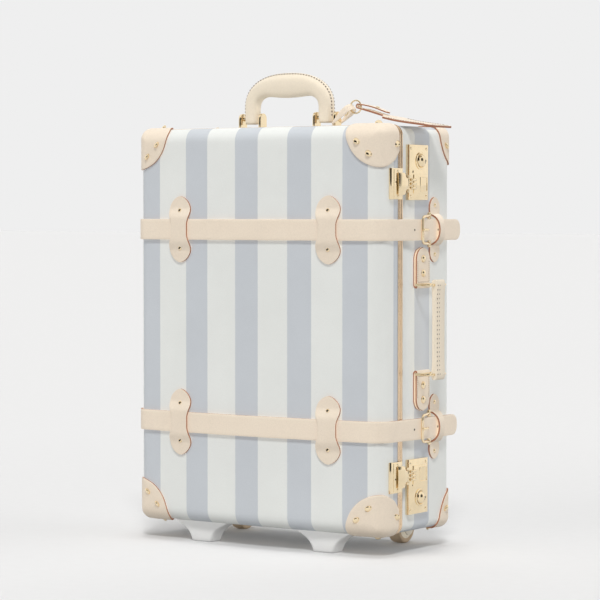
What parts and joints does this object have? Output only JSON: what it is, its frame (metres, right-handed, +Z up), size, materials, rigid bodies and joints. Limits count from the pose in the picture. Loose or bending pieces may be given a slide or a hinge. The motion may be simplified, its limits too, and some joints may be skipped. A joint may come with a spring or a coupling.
{
  "type": "carry-on suitcase",
  "caption": "Upright carry-on suitcase with a crowned hinged lid, buckled straps, side locks, folding handles, a telescopic trolley, rear wheels and front feet",
  "frame": {"origin": "floor level, below the middle of the overall box", "axes": "+Z up, front towards -Y, locks and side handle towards +X"},
  "size_m": [0.4396, 0.1822, 0.5965],
  "materials": {
    "striped_covering": "fine-grained coated covering with broad pale stripes",
    "natural_leather": "pale vegetable-tanned, cut edges reddish",
    "polished_brass": "polished",
    "lining_cloth": "plain woven",
    "white_moulding": "satin",
    "tan_rubber": "matt",
    "bright_tube": "anodised",
    "ivory_moulding": "satin"
  },
  "bodies": {
    "base": {"base_shell": "striped_covering", "base_frame": "polished_brass", "base_lining": "lining_cloth", "base_corner_top_left": "natural_leather", "base_corner_top_right": "natural_leather", "base_corner_bottom_left": "natural_leather", "base_corner_bottom_right": "natural_leather", "buckle_tab_upper": "natural_leather", "buckle_tab_lower": "natural_leather", "buckle_frame_upper": "polished_brass", "buckle_frame_lower": "polished_brass", "lock_plate_upper": "polished_brass", "lock_plate_lower": "polished_brass", "side_tab_upper": "natural_leather", "side_tab_lower": "natural_leather", "carry_handle_lugs": "polished_brass", "trolley_cup": "ivory_moulding", "trolley_outer_tubes": "bright_tube", "wheel_wells": "ivory_moulding", "hinge_base_leaves": "polished_brass", "tag_lace": "natural_leather", "tag_link": "polished_brass", "base_fasteners": "polished_brass"},
    "lid": {"lid_shell": "striped_covering", "lid_frame": "polished_brass", "lid_lining": "lining_cloth", "lid_corner_top_left": "natural_leather", "lid_corner_top_right": "natural_leather", "lid_corner_bottom_left": "natural_leather", "lid_corner_bottom_right": "natural_leather", "keeper_upper_left": "natural_leather", "keeper_upper_right": "natural_leather", "keeper_lower_left": "natural_leather", "keeper_lower_right": "natural_leather", "strap_upper": "natural_leather", "strap_lower": "natural_leather", "catch_plate_upper": "polished_brass", "catch_plate_lower": "polished_brass", "foot_left": "white_moulding", "foot_right": "white_moulding", "hinge_lid_leaves": "polished_brass", "lid_fasteners": "polished_brass"},
    "carry_handle": {"carry_handle_grip": "natural_leather"},
    "side_ring_upper": {"side_ring_upper": "polished_brass"},
    "side_ring_lower": {"side_ring_lower": "polished_brass"},
    "side_grip": {"side_handle_grip": "natural_leather"},
    "hasp_upper": {"hasp_upper": "polished_brass"},
    "hasp_lower": {"hasp_lower": "polished_brass"},
    "knob_upper": {"lock_knob_upper": "polished_brass"},
    "knob_lower": {"lock_knob_lower": "polished_brass"},
    "prong_upper": {"buckle_prong_upper": "polished_brass"},
    "prong_lower": {"buckle_prong_lower": "polished_brass"},
    "trolley": {"trolley_inner_tubes": "bright_tube", "trolley_pull": "ivory_moulding"},
    "button": {"trolley_button": "ivory_moulding"},
    "wheel_left": {"wheel_left": "tan_rubber"},
    "wheel_right": {"wheel_right": "tan_rubber"},
    "tag": {"tag_body": "natural_leather"}
  },
  "joints": [
    {"name": "lid_hinge", "type": "hinge", "parent": "base", "child": "lid", "pos_m": [-0.2168, -0.0389, 0.276], "axis": [0, 0, -1], "range_deg": [0, 110], "deforming": ["strap_upper", "strap_lower"]},
    {"name": "carry_handle_pivot", "type": "hinge", "parent": "base", "child": "carry_handle", "pos_m": [-0.0251, -0.0049, 0.5395], "axis": [1, 0, 0], "range_deg": [-85, 85]},
    {"name": "side_ring_upper_swing", "type": "hinge", "parent": "base", "child": "side_ring_upper", "pos_m": [0.167, 0.0066, 0.331], "axis": [0, 1, 0], "range_deg": [-20, 60]},
    {"name": "side_ring_lower_swing", "type": "hinge", "parent": "base", "child": "side_ring_lower", "pos_m": [0.167, 0.0066, 0.221], "axis": [0, 1, 0], "range_deg": [-20, 60]},
    {"name": "side_grip_swing", "type": "hinge", "parent": "side_ring_upper", "child": "side_grip", "pos_m": [0.1894, 0.0066, 0.331], "axis": [0, 1, 0], "range_deg": [-60, 20]},
    {"name": "hasp_upper_flip", "type": "hinge", "parent": "base", "child": "hasp_upper", "pos_m": [0.1676, -0.0303, 0.45472], "axis": [0, 0, 1], "range_deg": [0, 100]},
    {"name": "knob_upper_turn", "type": "hinge", "parent": "base", "child": "knob_upper", "pos_m": [0.1669, -0.0008, 0.48328], "axis": [1, 0, 0], "range_deg": [-90, 90]},
    {"name": "prong_upper_swing", "type": "hinge", "parent": "base", "child": "prong_upper", "pos_m": [0.1654, 0.0231, 0.3985], "axis": [0, 0, 1], "range_deg": [0, 60]},
    {"name": "hasp_lower_flip", "type": "hinge", "parent": "base", "child": "hasp_lower", "pos_m": [0.1676, -0.0303, 0.09728], "axis": [0, 0, 1], "range_deg": [0, 100]},
    {"name": "knob_lower_turn", "type": "hinge", "parent": "base", "child": "knob_lower", "pos_m": [0.1669, -0.0008, 0.06872], "axis": [1, 0, 0], "range_deg": [-90, 90]},
    {"name": "prong_lower_swing", "type": "hinge", "parent": "base", "child": "prong_lower", "pos_m": [0.1654, 0.0231, 0.1535], "axis": [0, 0, 1], "range_deg": [0, 60]},
    {"name": "trolley_slide", "type": "slide", "parent": "base", "child": "trolley", "axis": [0, 0, 1], "range_m": [0, 0.38]},
    {"name": "release_button", "type": "slide", "parent": "trolley", "child": "button", "axis": [0, 0, -1], "range_m": [0, 0.003], "stiffness_N_per_m": 300, "springref_m": -0.001},
    {"name": "wheel_left_spin", "type": "hinge", "parent": "base", "child": "wheel_left", "pos_m": [-0.1491, 0.0651, 0.02], "axis": [1, 0, 0], "continuous": true},
    {"name": "wheel_right_spin", "type": "hinge", "parent": "base", "child": "wheel_right", "pos_m": [0.0989, 0.0651, 0.02], "axis": [1, 0, 0], "continuous": true},
    {"name": "tag_lift", "type": "hinge", "parent": "base", "child": "tag", "pos_m": [0.0756, -0.0049, 0.55145], "axis": [0, -1, 0], "range_deg": [0, 70]}
  ],
  "couplings": [
    {"joint": "side_ring_lower_swing", "follows": "side_ring_upper_swing", "ratio": 1},
    {"joint": "side_grip_swing", "follows": "side_ring_upper_swing", "ratio": -1}
  ]
}
